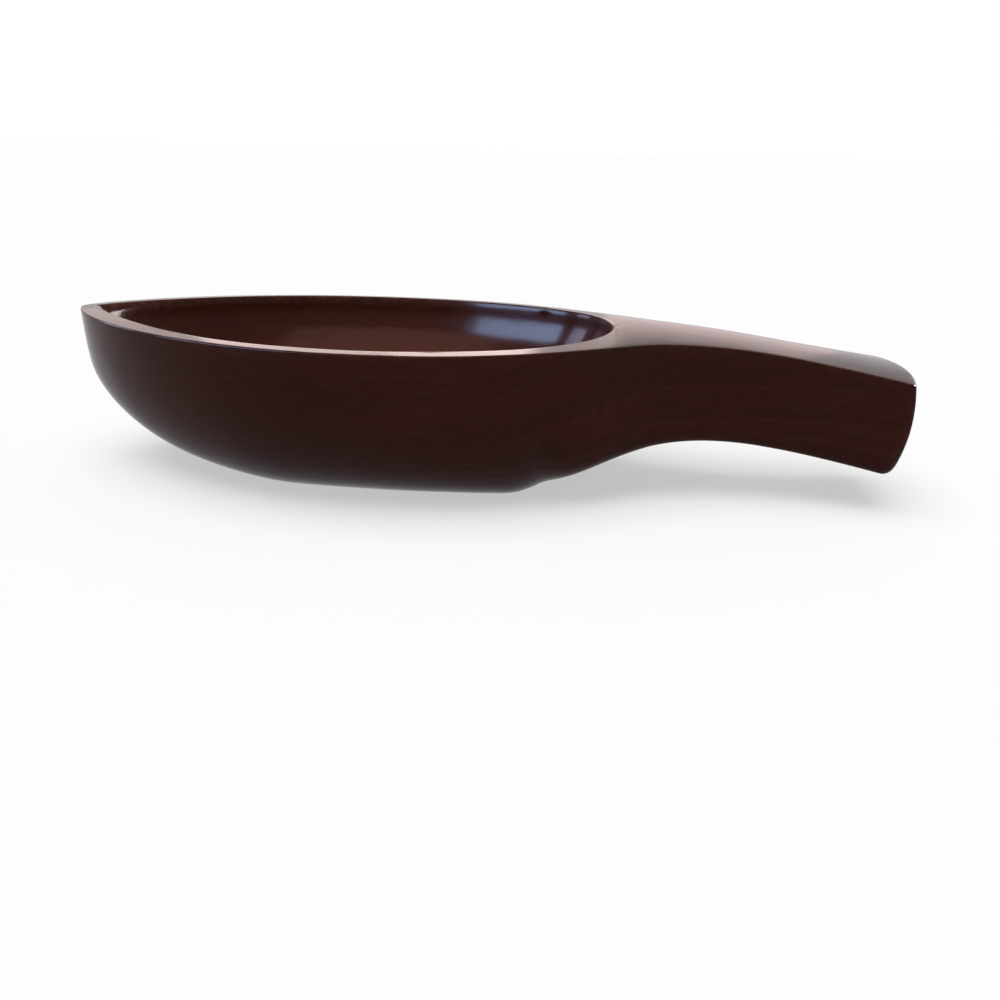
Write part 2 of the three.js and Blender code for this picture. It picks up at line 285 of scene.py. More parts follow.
class ShapeTree(Tree):
    """A Geometry Nodes tree, with named inputs for the sizes of what it makes."""

    def __init__(self, name: str) -> None:
        """Starts an empty tree of a name, with the node that its inputs come in through."""
        super().__init__(bpy.data.node_groups.new(name, "GeometryNodeTree"))
        self.entry = self.node("NodeGroupInput")
        self.settings: dict[str, float] = {}

    def number(self, name: str, value: Number) -> Value:
        """Adds a named input for a number.

        Args:
            name: the input's name.
            value: what it is set to, where that is known.

        Returns:
            The number that the input brings in.
        """
        socket = self.group.interface.new_socket(name, in_out="INPUT", socket_type="NodeSocketFloat")
        if not isinstance(value, Value):
            socket.default_value = value
            self.settings[socket.identifier] = value
        outputs = {output.identifier: output for output in self.entry.outputs}
        return Value(self, outputs[socket.identifier])

    def inputs_for(self, part: Part, name: str = "") -> Part:
        """Adds a named input for each number in a part, and gives the part with those numbers."""
        return with_numbers(part, iter([self.number(*found) for found in numbers_in(part, name)]))

    def result(self, sources: list[Any], kind: str) -> None:
        """Ends the tree, and drops the inputs that nothing in it uses.

        Args:
            sources: what goes out.
            kind: the output sockets' type.
        """
        leaving = self.node("NodeGroupOutput")
        for number, source in enumerate(sources):
            self.group.interface.new_socket(f"Result {number + 1}", in_out="OUTPUT", socket_type=kind)
            self.feed(leaving.inputs[number], source)
        used = {output.identifier for output in self.entry.outputs if output.is_linked}
        for item in list(self.group.interface.items_tree):
            if item.in_out == "INPUT" and item.identifier not in used:
                self.settings.pop(item.identifier, None)
                self.group.interface.remove(item)

    def grid(self, rows: int, columns: int) -> tuple[bpy.types.NodeSocket, Value, Value]:
        """Adds a grid of points to be shaped.

        Args:
            rows: how many steps it has in its first direction.
            columns: how many steps it has in its second direction.

        Returns:
            The mesh, and the row and the column of each of its points.
        """
        mesh = self.node("GeometryNodeMeshGrid", {"Vertices X": rows + 1, "Vertices Y": columns + 1})
        index = Value(self, self.node("GeometryNodeInputIndex").outputs[0])
        row = ((index + 0.5) / (columns + 1)).apply("FLOOR")
        return mesh.outputs["Mesh"], row, index - row * (columns + 1)

    def noted(self, mesh: Any, name: str, number: Value) -> bpy.types.NodeSocket:
        """Keeps a number for each point of a mesh, as an attribute that the material reads.

        Args:
            mesh: the mesh.
            name: the attribute's name.
            number: the number, from 0 to 1.

        Returns:
            The mesh with the attribute.
        """
        feeds = {"Geometry": mesh, "Name": name, "Value": number}
        stored = self.node("GeometryNodeStoreNamedAttribute", feeds, data_type="FLOAT", domain="POINT")
        return stored.outputs[0]

    def shaped(self, mesh: Any, place: Any, wear: Value) -> bpy.types.NodeSocket:
        """Moves the points of a mesh to their places, and notes how worn the wood is there."""
        moved = self.node("GeometryNodeSetPosition", {"Geometry": mesh, "Position": place}).outputs[0]
        return self.noted(moved, WEAR, wear.held(0, 1))

    def joined(self, *meshes: bpy.types.NodeSocket) -> bpy.types.NodeSocket:
        """Joins meshes into one."""
        made = self.node("GeometryNodeJoinGeometry")
        for mesh in meshes:
            self.feed(made.inputs[0], mesh)
        return made.outputs[0]

    def turned_over(self, mesh: bpy.types.NodeSocket) -> bpy.types.NodeSocket:
        """Turns the faces of a mesh over."""
        return self.node("GeometryNodeFlipFaces", {"Mesh": mesh}).outputs[0]


def formula(rule: Callable[..., Any]) -> Callable[..., Any]:
    """Makes a rule a node group, which is built once and used wherever the rule is called.

    Args:
        rule: a function that works out a number, or several, from numbers and parts' sizes.

    Returns:
        A function that is called as the rule is, and adds a node for its group.
    """
    title = rule.__qualname__.replace(".", " ").replace("_", " ").capitalize()
    names = list(inspect.signature(rule).parameters)

    @wraps(rule)
    def used(*parts: Any) -> Any:
        """Feeds a group node, and builds its group where it is the first of its kind."""
        if title not in bpy.data.node_groups:
            inside = ShapeTree(title)
            found = rule(*(inside.inputs_for(part, name) for name, part in zip(names, parts)))
            inside.result(list(found) if isinstance(found, tuple) else [found], "NodeSocketFloat")
        numbers = [found for name, part in zip(names, parts) for found in numbers_in(part, name)]
        tree = next(number.tree for _, number in numbers if isinstance(number, Value))
        node = tree.node("GeometryNodeGroup", node_tree=bpy.data.node_groups[title])
        for name, number in numbers:
            if name in node.inputs:
                tree.feed(node.inputs[name], number)
        results = tuple(Value(tree, output) for output in node.outputs)
        return results if len(results) > 1 else results[0]

    return used


def mix(start: Number, end: Number, share: Number) -> Number:
    """Goes from one number, at a share of 0, to another, at a share of 1."""
    return start + (end - start) * share


def smooth(place: Value, start: Number, end: Number) -> Value:
    """Goes smoothly from 0 to 1 as the place goes from start to end."""
    share = ((place - start) / (end - start)).held(0, 1)
    return share * share * (3 - 2 * share)


def past(place: Value, border: Number) -> Value:
    """Gives 1 where the place is past the border and 0 elsewhere."""
    return place.apply("GREATER_THAN", border)


def between_ends(share: Value) -> Value:
    """Gives 0 at both ends of a share and 1 between them."""
    return past(share, TINY_SHARE) * past(1 - share, TINY_SHARE)


def share_of(count: Value, start: float, steps: int) -> Value:
    """Goes from 0 to 1 over a number of steps from a start."""
    return ((count - start) / steps).held(0, 1)


def polynomial(controls: list[Number], share: Number) -> Number:
    """Evaluates a cubic Bezier polynomial.

    Args:
        controls: its four control numbers.
        share: how far along it is, from 0 to 1.

    Returns:
        Its value there.
    """
    first, second, third, fourth = controls
    cubed = fourth - 3 * third + 3 * second - first
    squared = 3 * (third - 2 * second + first)
    return ((cubed * share + squared) * share + 3 * (second - first)) * share + first


@formula
def curve_at(place: Value, start: Pair, leaving: Pair, arriving: Pair, end: Pair) -> Value:
    """Finds the value of a cubic curve at a place, by halving.

    Args:
        place: the place. Before the curve and after it, the value is the end's.
        start: the curve's first control point, a place and a value.
        leaving: its second control point.
        arriving: its third control point.
        end: its last control point.

    Returns:
        The value there.
    """
    halvings = 22
    places, values = (list(numbers) for numbers in zip(start, leaving, arriving, end))
    tree = place.tree
    first = tree.node("GeometryNodeRepeatInput")
    last = tree.node("GeometryNodeRepeatOutput")
    first.pair_with_output(last)
    last.repeat_items.clear()
    for name in ("Share", "Step"):
        last.repeat_items.new("FLOAT", name)
    for name, number in (("Iterations", halvings), ("Share", 0.5), ("Step", 0.25)):
        tree.feed(first.inputs[name], number)
    share = Value(tree, first.outputs["Share"])
    step = Value(tree, first.outputs["Step"])
    tree.feed(last.inputs["Share"], share + (place - polynomial(places, share)).apply("SIGN") * step)
    tree.feed(last.inputs["Step"], step / 2)
    return polynomial(values, Value(tree, last.outputs["Share"]))


@formula
def quarter_round(share: Value, depth_power: Number, width_power: Number) -> tuple[Value, Value]:
    """Follows a quarter of a superellipse, with its points spread out where it is flat.

    Args:
        share: how far along the quarter, from its widest place to its deepest.
        depth_power: the superellipse's power across its depth.
        width_power: the superellipse's power across its width.

    Returns:
        How far across and how deep the place lies, each from 0 to 1.
    """
    easing = (depth_power + 2) / 4
    passed = share**easing
    angle = passed / (passed + (1 - share) ** easing) * QUARTER_TURN
    across = (QUARTER_TURN - angle).apply("SINE").held(0, 1) ** (2 / width_power)
    return across, angle.apply("SINE").held(0, 1) ** (2 / depth_power)


@dataclass(frozen=True)
class Plan:
    """Half the dish's width along its length, from the nose over the beam and root to the end."""

    nose_to_beam: Number = 0.162
    beam_to_root: Number = 0.140
    root_to_waist: Number = 0.066
    waist_to_end: Number = 0.0605
    beam_width: Number = 0.154
    root_width: Number = 0.064
    waist_width: Number = 0.0446
    end_width: Number = 0.061
    nose_bluntness: Number = 0.205
    bow_fullness: Number = 0.62
    quarter_fullness: Number = 0.53
    root_entry_share: Number = 0.3
    root_entry_slope: Number = -0.49
    root_exit_share: Number = 0.24
    root_exit_slope: Number = -0.35
    fullness_before_waist: Number = 0.35
    fullness_after_waist: Number = 0.3
    end_flare_share: Number = 0.33
    end_flare_slope: Number = 0.2

    @property
    def root(self) -> Number:
        """Where the handle starts."""
        return self.nose_to_beam + self.beam_to_root

    @property
    def waist(self) -> Number:
        """Where the handle is narrowest."""
        return self.root + self.root_to_waist

    @property
    def end(self) -> Number:
        """Where the handle ends."""
        return self.waist + self.waist_to_end

    @formula
    def half_width(self, place: Value) -> Value:
        """Finds half the width at a place.

        Args:
            place: the distance from the nose.

        Returns:
            Half the width there.
        """
        beam = self.beam_width / 2
        root = self.root_width / 2
        waist = self.waist_width / 2
        end = self.end_width / 2
        bow = curve_at(
            place,
            (0, 0),
            (0, self.nose_bluntness * beam),
            (self.nose_to_beam * (1 - self.bow_fullness), beam),
            (self.nose_to_beam, beam),
        )
        entry = self.root_entry_share * self.beam_to_root
        quarter = curve_at(
            place,
            (self.nose_to_beam, beam),
            (self.nose_to_beam + self.quarter_fullness * self.beam_to_root, beam),
            (self.root - entry, root - self.root_entry_slope * entry),
            (self.root, root),
        )
        leaving = self.root_exit_share * self.root_to_waist
        neck = curve_at(
            place,
            (self.root, root),
            (self.root + leaving, root + self.root_exit_slope * leaving),
            (self.waist - self.fullness_before_waist * self.root_to_waist, waist),
            (self.waist, waist),
        )
        flare = self.end_flare_share * self.waist_to_end
        grip = curve_at(
            place,
            (self.waist, waist),
            (self.waist + self.fullness_after_waist * self.waist_to_end, waist),
            (self.end - flare, end - self.end_flare_slope * flare),
            (self.end, end),
        )
        return bow + (quarter - beam) + (neck - root) + (grip - waist)


@dataclass(frozen=True)
class Side:
    """The dish's side view: its top line, its keel, and the handle's droop, down from the rim."""

    rim_height: Number = 0.080
    nose_rise: Number = 0.0018
    nose_to_sheer_low: Number = 0.175
    stem_depth: Number = 0.027
    handle_thickness: Number = 0.0473
    droop_slope: Number = -math.tan(math.radians(7.8))
    droop_before_root: Number = 0.017
    droop_past_root: Number = 0.056
    foot_planing: Number = 0.004
    prow_run: Number = 0.125
    heel_run: Number = 0.127
    stem_forward: Number = 0.044
    stem_down: Number = 0.3
    prow_fullness: Number = 0.51
    heel_fullness: Number = 0.233
    underside_fullness: Number = 0.685

    @formula
    def top(self, place: Value, root: Number) -> Value:
        """Finds the height of the top line.

        Args:
            place: the distance from the nose.
            root: where the handle starts.

        Returns:
            The height above the middle of the rim.
        """
        start = root - self.droop_before_root
        bend = self.droop_before_root + self.droop_past_root
        from_low = (place.apply("MINIMUM", start) - self.nose_to_sheer_low) / self.nose_to_sheer_low
        start_slope = 2 * self.nose_rise * (start - self.nose_to_sheer_low) / self.nose_to_sheer_low**2
        along = (place - start).held(0, bend)
        bent = start_slope * along + (self.droop_slope - start_slope) * along**2 / (2 * bend)
        straight = self.droop_slope * (place - start - bend).apply("MAXIMUM", 0)
        return self.nose_rise * from_low**2 + bent + straight

    @formula
    def bottom(self, place: Value, root: Number) -> Value:
        """Finds the height of the keel and of the handle's underside.

        Args:
            place: the distance from the nose.
            root: where the handle starts.

        Returns:
            The height above the middle of the rim, which is below 0.
        """
        keel = 0 - self.rim_height - self.foot_planing
        prow = curve_at(
            place,
            (0, 0 - self.stem_depth),
            (self.stem_forward * self.prow_run, mix(0 - self.stem_depth, keel, self.stem_down)),
            (self.prow_run * (1 - self.prow_fullness), keel),
            (self.prow_run, keel),
        )
        straight = root + self.droop_past_root
        underside = self.top(straight, root) - self.handle_thickness
        arrival = self.underside_fullness * self.heel_run
        heel = curve_at(
            place,
            (straight - self.heel_run, keel),
            (straight - self.heel_run * (1 - self.heel_fullness), keel),
            (straight - arrival, underside - self.droop_slope * arrival),
            (straight, underside),
        )
        handle = self.top(place, root) - self.handle_thickness
        return mix(prow + heel - keel, handle, past(place, straight))


@dataclass(frozen=True)
class Section:
    """What the outside looks like where the dish is cut across."""

    edge_radius: Number = 0.0007
    top_crown: Number = 0.035
    nose_depth_power: Number = 2.6
    nose_width_power: Number = 4
    belly_depth_power: Number = 2.7
    belly_width_power: Number = 2.5
    handle_depth_power: Number = 14
    handle_width_power: Number = 12
    nose_blend_run: Number = 0.097
    heel_blend_run: Number = 0.054

    @formula
    def powers(self, place: Value, root: Number) -> tuple[Value, Value]:
        """Finds the superellipse's powers.

        Args:
            place: the distance from the nose.
            root: where the handle starts.

        Returns:
            The power across the depth and the power across the width.
        """
        belly = smooth(place, 0, self.nose_blend_run)
        handle = smooth(place, root - self.heel_blend_run, root)
        depth = mix(self.nose_depth_power, self.belly_depth_power, belly)
        width = mix(self.nose_width_power, self.belly_width_power, belly)
        return mix(depth, self.handle_depth_power, handle), mix(width, self.handle_width_power, handle)

    def crown(self, half_width: Value, across: Value) -> Value:
        """Finds how far the crowned top rises above the top line at a distance across."""
        return self.top_crown * half_width * (1 - (across / (half_width - self.edge_radius)) ** 2)


@dataclass(frozen=True)
class Hollow:
    """The hollow: its outline at the rim, its wall and floor, and its edge.

    The edge is rounder at the nose, and passes into its usual rounding from one share of the
    outline to another. The wall opens out by lip_ease at its edge, less and less down to lip_depth.
    """

    rim_width: Number = 0.007
    nose_land: Number = 0.013
    heel_land: Number = 0.021
    floor_thickness: Number = 0.018
    prow_run: Number = 0.112
    heel_run: Number = 0.092
    nose_forward: Number = 0.06
    nose_across: Number = 0.2
    bow_fullness: Number = 0.64
    quarter_fullness: Number = 0.41
    end_fullness: Number = 0.73
    plunge: Number = 0.6
    wall_lean: Number = 0.1
    prow_fullness: Number = 0.6
    heel_fullness: Number = 0.55
    depth_power: Number = 2
    width_power: Number = 2.3
    edge_rounding: Number = 0.0008
    nose_rounding: Number = 0.005
    nose_rounding_start: Number = 0.06
    nose_rounding_end: Number = 0.25
    lip_ease: Number = 0.0004
    lip_depth: Number = 0.005

    @formula
    def half_width(self, place: Value, plan: Plan) -> Value:
        """Finds half the width of the hollow at the rim.

        Args:
            place: the distance from the nose.
            plan: the dish's plan.

        Returns:
            Half the width there, 0 before the hollow and after it.
        """
        beam = plan.nose_to_beam
        end = plan.root - self.heel_land
        widest = plan.beam_width / 2 - self.rim_width
        bow = curve_at(
            place,
            (self.nose_land, 0),
            (mix(self.nose_land, beam, self.nose_forward), self.nose_across * widest),
            (mix(beam, self.nose_land, self.bow_fullness), widest),
            (beam, widest),
        )
        quarter = curve_at(
            place,
            (beam, widest),
            (mix(beam, end, self.quarter_fullness), widest),
            (end, self.end_fullness * widest),
            (end, 0),
        )
        return bow + quarter - widest

    @formula
    def rounding(self, round_rim: Value) -> Value:
        """Finds the rim's inner edge radius at a share of the outline, from the nose to the heel."""
        past_nose = smooth(round_rim, self.nose_rounding_start, self.nose_rounding_end)
        return mix(self.nose_rounding, self.edge_rounding, past_nose)

    def flare(self, round_rim: Value) -> Value:
        """Finds how far the edge lies outside the wall at a share of the outline."""
        return self.rounding(round_rim) + self.lip_ease

    def ease(self, depth: Value) -> Value:
        """Finds how far the wall opens out just under its edge, beyond its own curve."""
        left = (1 - depth / self.lip_depth).apply("MAXIMUM", 0)
        return self.lip_ease * left * left

    def ends(self, deepest: Number, root: Number) -> tuple[tuple[Pair, ...], tuple[Pair, ...]]:
        """Gives the middle line of the wall at the nose and at the heel, each from the rim down.

        Args:
            deepest: how deep the hollow is at its floor.
            root: where the handle starts.

        Returns:
            The control points of the two curves, each a distance from the nose and a depth.
        """
        nose, heel = self.nose_land, root - self.heel_land
        return (
            (nose, 0),
            (nose + self.wall_lean * self.prow_run, self.plunge * deepest),
            (nose + self.prow_run * (1 - self.prow_fullness), deepest),
            (nose + self.prow_run, deepest),
        ), (
            (heel, 0),
            (heel - self.wall_lean * self.heel_run, self.plunge * deepest),
            (heel - self.heel_run * (1 - self.heel_fullness), deepest),
            (heel - self.heel_run, deepest),
        )

    @formula
    def depth(self, place: Value, deepest: Number, root: Number) -> Value:
        """Finds how deep the hollow's middle is.

        Args:
            place: the distance from the nose.
            deepest: how deep the hollow is at its floor.
            root: where the handle starts.

        Returns:
            The depth below the top line, 0 before the hollow and after it.
        """
        prow, heel = self.ends(deepest, root)
        return curve_at(place, *prow) + curve_at(place, *reversed(heel)) - deepest

    @formula
    def reaches(self, depth: Value, deepest: Number, root: Number) -> tuple[Value, ...]:
        """Finds where the hollow reaches a depth on its way down and leaves it on its way up.

        Args:
            depth: the depth below the top line.
            deepest: how deep the hollow is at its floor.
            root: where the handle starts.

        Returns:
            The two distances from the nose.
        """
        ends = self.ends(deepest, root)
        return tuple(curve_at(depth, *((deep, place) for place, deep in end)) for end in ends)


@dataclass(frozen=True)
class Dome:
    """The handle's domed end and its rounded edge."""

    tip_rise: Number = 0.006
    bulge_in_plan: Number = 0.005
    bulge_in_side: Number = 0.0034
    edge_radius: Number = 0.002
    lower_edge_radius: Number = 0.006


@dataclass(frozen=True)
class Marks:
    """What knife and use have left: a wandering surface, nicked edges and a chip in the far rim.

    A scale is how many bumps of a noise there are to the metre. The chip deepens from the first
    to the second share of its half length and width, and reaches no further down than chip_reach.
    """

    tool_wander: Number = 0.0003
    wander_scale: Number = 24
    nick_depth: Number = 0.00006
    nick_scale: Number = 420
    nick_threshold: Pair = (0.64, 0.78)
    chip_x: Number = 0.0768
    chip_y: Number = 0.0515
    chip_turn: Number = math.radians(-40)
    chip_length: Number = 0.008
    chip_width: Number = 0.003
    chip_depth: Number = 0.0004
    chip_reach: Number = 0.0008
    chip_border: Pair = (1.15, 0.6)
    chip_scale: Number = 900
    chip_raggedness: Number = 0.9


@dataclass(frozen=True)
class Shape:
    """The whole dish's shape, with the X of its nose in the frame."""

    nose: Number = 0.0
    plan: Plan = Plan()
    side: Side = Side()
    section: Section = Section()
    hollow: Hollow = Hollow()
    dome: Dome = Dome()
    marks: Marks = Marks()

    @formula
    def outside(self, x: Value, wall_x: Value, over_top: Value, over_edge: Value, down_flank: Value,
                round_rim: Value, on_rim: Value) -> tuple[Value, Value]:
        """Follows half of the outside round a section, from the middle of its top to its keel.

        Args:
            x: the distance from the nose.
            wall_x: how far from the nose the point of the hollow's outline lies that belongs to it.
            over_top: how far the top is crossed, from the hollow's edge at 0 to the outer edge at 1.
            over_edge: how far the top's outer edge is rounded, from 0 to 1.
            down_flank: how far the flank is followed down, from 0 to 1.
            round_rim: how far along the hollow's outline it is, from 0 at the nose to 1 at the heel.
            on_rim: 1 where the hollow is, and 0 elsewhere.

        Returns:
            The point's distance from the middle plane, and its height above the middle of the rim.
        """
        root = self.plan.root
        top = self.side.top(x, root)
        bottom = self.side.bottom(x, root)
        half_width = self.plan.half_width(x)
        radius = (half_width / 2).apply("MINIMUM", self.section.edge_radius)
        shoulder = half_width - radius
        flare = self.hollow.flare(round_rim) * on_rim
        angle = round_rim * math.pi
        rim = self.hollow.half_width(wall_x, self.plan)
        inner_y = (rim + flare * angle.apply("SINE")) * between_ends(round_rim)
        inner_z = self.side.top(wall_x, root) + self.section.crown(self.plan.half_width(wall_x), rim)
        edge_turn = over_edge * QUARTER_TURN
        across, down = quarter_round(down_flank, *self.section.powers(x, root))
        top_y = mix(inner_y, shoulder, over_top)
        swell = self.section.top_crown * half_width / shoulder**2 * (top_y - inner_y) * (shoulder - top_y)
        y = top_y + radius * edge_turn.apply("SINE") + half_width * (across - 1)
        z = mix(inner_z, top, over_top) + swell - radius * (1 - edge_turn.apply("COSINE"))
        return y, z - (top - radius - bottom) * down

    @formula
    def placed(self, x: Value, y: Value, z: Value) -> tuple[Value, Value, Value]:
        """Puts a point of the outside in its place in the frame, shifted back by the dome's bulge.

        Args:
            x: the distance from the nose.
            y: the distance from the middle plane.
            z: the height above the middle of the rim.

        Returns:
            The point in the dish's own frame.
        """
        thickness = self.side.handle_thickness
        rise = z - self.side.top(x, self.plan.root) + thickness / 2
        share = ((x - self.plan.waist) / self.plan.waist_to_end).apply("MAXIMUM", 0)
        in_plan = self.dome.bulge_in_plan * (2 * y / self.plan.end_width) ** 2
        in_side = self.dome.bulge_in_side * (2 * (rise - self.dome.tip_rise) / thickness) ** 2
        return x - share * (in_plan + in_side) + self.nose, y, z + self.side.rim_height

    @formula
    def inside(self, over_rounding: Value, down_wall: Value, round_rim: Value) -> tuple[Value, ...]:
        """Follows half of the hollow round a ring of equal depth.

        Args:
            over_rounding: how far over the rounding of the edge the ring lies, from 0 to 1.
            down_wall: how far down the wall and the floor the ring lies, from 0 to 1.
            round_rim: how far round the ring the point lies, from 0 at the nose to 1 at the heel.

        Returns:
            The point in the dish's own frame.
        """
        hollow, root = self.hollow, self.plan.root
        turn = over_rounding * QUARTER_TURN
        _, down = quarter_round(down_wall, hollow.depth_power, hollow.width_power)
        deepest = self.side.rim_height - hollow.floor_thickness
        rounding = hollow.rounding(round_rim)
        depth = rounding * (1 - turn.apply("COSINE")) + (deepest - rounding) * down
        start, stop = hollow.reaches(depth, deepest, root)
        angle = round_rim * math.pi
        x = (start + stop) / 2 - (stop - start) / 2 * angle.apply("COSINE")
        share = depth / hollow.depth(x, deepest, root)
        half_width = self.plan.half_width(x)
        rim = hollow.half_width(x, self.plan)
        on_wall = (1 - share**hollow.depth_power).apply("MAXIMUM", 0) ** (1 / hollow.width_power)
        off_middle = between_ends(round_rim) * past(1 - down_wall, TINY_SHARE)
        flare = rounding * (1 - turn.apply("SINE")) + hollow.ease(depth)
        y = (rim * on_wall + flare * angle.apply("SINE")) * off_middle
        z = self.side.top(x, root) + self.section.crown(half_width, rim) * (1 - share) - depth
        return x - flare * angle.apply("COSINE") + self.nose, y, z + self.side.rim_height


@dataclass(frozen=True)
class Steps:
    """How finely the dish's surfaces are divided."""

    nose: int = 12
    bowl: int = 240
    handle: int = 56
    top: int = 8
    edge: int = 5
    flank: int = 44
    wall: int = 46
    end_edge: int = 7
    end_dome: int = 12

    @property
    def section(self) -> int:
        """How many steps go from the middle of the top over its edge to the keel."""
        return self.top + self.edge + self.flank


class Carving:
    """The tree that carves the dish: its outside, its hollow and its handle's end, on both sides."""

    MERGE_DISTANCE = 1e-6
    WEAR_FADE = 2  # steps from an edge to where its wear ends

    def __init__(self, shape: Shape, steps: Steps) -> None:
        """Starts the tree, with the dish's sizes as its inputs.

        Args:
            shape: the dish's shape.
            steps: how finely its surfaces are divided.
        """
        self.tree = ShapeTree("Serving dish")
        self.shape = self.tree.inputs_for(shape)
        self.steps = steps

    def round_section(self, column: Value) -> tuple[Value, Value, Value]:
        """Finds how far over the top, over its edge and down the flank a column lies."""
        steps = self.steps
        return (
            share_of(column, 0, steps.top),
            share_of(column, steps.top, steps.edge),
            share_of(column, steps.top + steps.edge, steps.flank),
        )

    def skin(self) -> bpy.types.NodeSocket:
        """Makes the outside, from the nose to the start of the end's rounded edge.

        Rows are whole numbers, so a border between two of them lies half a row off.

        Returns:
            The surface.
        """
        steps, plan, hollow = self.steps, self.shape.plan, self.shape.hollow
        mesh, row, column = self.tree.grid(steps.nose + steps.bowl + steps.handle, steps.section)
        heel = plan.root - hollow.heel_land
        round_rim = share_of(row, steps.nose, steps.bowl)
        off = row * 0
        start = hollow.nose_land - hollow.flare(off)
        stop = heel + hollow.flare(off + 1)
        turn = (round_rim * math.pi).apply("COSINE")
        wall_x = (hollow.nose_land + heel) / 2 - (heel - hollow.nose_land) / 2 * turn
        x = (
            start * share_of(row, 0, steps.nose) ** 2
            + (wall_x - hollow.flare(round_rim) * turn - start) * past(row, steps.nose + 0.5)
            + (plan.end - self.shape.dome.lower_edge_radius - stop)
            * share_of(row, steps.nose + steps.bowl, steps.handle)
        )
        on_rim = past(row, steps.nose - 0.5) * (1 - past(row, steps.nose + steps.bowl + 0.5))
        wall_x = wall_x * on_rim + x * (1 - on_rim)
        y, z = self.shape.outside(x, wall_x, *self.round_section(column), round_rim, on_rim)
        outer = 1 - (column - steps.top - steps.edge / 2).apply("ABSOLUTE") / (steps.edge / 2 + 1)
        inner = on_rim * (1 - column / self.WEAR_FADE)
        place = self.tree.point(*self.shape.placed(x, y, z))
        return self.tree.shaped(mesh, place, outer.apply("MAXIMUM", inner))

    def cap(self) -> bpy.types.NodeSocket:
        """Makes the handle's end: its rounded edge and its dome, ring by ring to the middle.

        Returns:
            The surface.
        """
        steps, plan, side, dome = self.steps, self.shape.plan, self.shape.side, self.shape.dome
        mesh, row, column = self.tree.grid(1 + steps.end_edge + steps.end_dome, steps.section)
        around = self.round_section(column)
        off = row * 0
        last = self.shape.outside(off + plan.end, off + plan.end, *around, off, off)[1]
        middle = side.top(off + plan.end, plan.root) - side.handle_thickness / 2
        lowness = (2 * (middle - last) / side.handle_thickness).held(0, 1)
        radius = mix(dome.edge_radius, dome.lower_edge_radius, lowness)
        turn = share_of(row, 1, steps.end_edge) * QUARTER_TURN
        begun = row.apply("MINIMUM", 1)
        x = plan.end - mix(dome.lower_edge_radius, radius * (1 - turn.apply("SINE")), begun)
        y, z = self.shape.outside(x, x, *around, off, off)
        to_corner = ((plan.end_width / 2) ** 2 + (side.handle_thickness / 2) ** 2).apply("SQRT")
        left = 1 - share_of(row, 1 + steps.end_edge, steps.end_dome)
        kept = left * (1 - radius * (1 - turn.apply("COSINE")) / to_corner)
        z = mix(side.top(x, plan.root) - side.handle_thickness / 2, z, kept)
        place = self.tree.point(*self.shape.placed(x, y * kept, z))
        wear = 1 - (row - 1 - steps.end_edge / 2).apply("ABSOLUTE") / steps.end_edge
        return self.tree.shaped(mesh, place, wear)

    def bowl(self) -> bpy.types.NodeSocket:
        """Makes the hollow in rings of equal depth, from the rounding of its edge to its floor.

        Returns:
            The surface, marked from its edge down for the painted glow, a lighter and warmer wood colour that
            stands for light bounced inside the hollow.
        """
        steps = self.steps
        mesh, row, column = self.tree.grid(steps.edge + steps.wall, steps.bowl)
        over_rounding = share_of(row, 0, steps.edge)
        down_wall = share_of(row, steps.edge, steps.wall)
        place = self.tree.point(*self.shape.inside(over_rounding, down_wall, column / steps.bowl))
        wear = 1 - (row - steps.edge).apply("MAXIMUM", 0) / self.WEAR_FADE
        wall = self.tree.shaped(mesh, place, wear)
        # Painted glow: marks the hollow so that its wood colour is lifted, standing for light bounced inside it.
        sheltered = self.tree.noted(wall, SHELTER, share_of(row, 0, 2 * steps.edge))
        return self.tree.turned_over(sheltered)

    def marked(self, mesh: bpy.types.NodeSocket) -> bpy.types.NodeSocket:
        """Leaves the marks of the knife and of use.

        Args:
            mesh: the whole dish.

        Returns:
            The marked dish.
        """
        tree, marks = self.tree, self.shape.marks
        position = tree.node("GeometryNodeInputPosition").outputs[0]
        x, y, z = tree.parts(position)
        attribute = tree.node("GeometryNodeInputNamedAttribute", {"Name": WEAR}, data_type="FLOAT")
        wear = Value(tree, attribute.outputs["Attribute"])
        wander = (tree.noise(position, marks.wander_scale, detail=1) - NOISE_MEAN) * marks.tool_wander
        pitted = smooth(tree.noise(position, marks.nick_scale), *marks.nick_threshold)
        nicks = pitted * wear * marks.nick_depth
        cosine = marks.chip_turn.apply("COSINE")
        sine = marks.chip_turn.apply("SINE")
        along = 2 * ((x - marks.chip_x) * cosine + (y - marks.chip_y) * sine) / marks.chip_length
        across = 2 * ((y - marks.chip_y) * cosine - (x - marks.chip_x) * sine) / marks.chip_width
        ragged = (tree.noise(position, marks.chip_scale) - NOISE_MEAN) * marks.chip_raggedness
        distance = (along**2 + across**2).apply("SQRT") + ragged
        near_rim = past(z, self.shape.side.rim_height - marks.chip_reach)
        chip = smooth(distance, *marks.chip_border) * near_rim * marks.chip_depth
        inward = tree.node("ShaderNodeVectorMath", operation="SCALE")
        tree.feed(inward.inputs[0], tree.node("GeometryNodeInputNormal").outputs[0])
        tree.feed(inward.inputs["Scale"], wander - nicks - chip)
        feeds = {"Geometry": mesh, "Offset": inward.outputs[0]}
        return tree.node("GeometryNodeSetPosition", feeds).outputs[0]

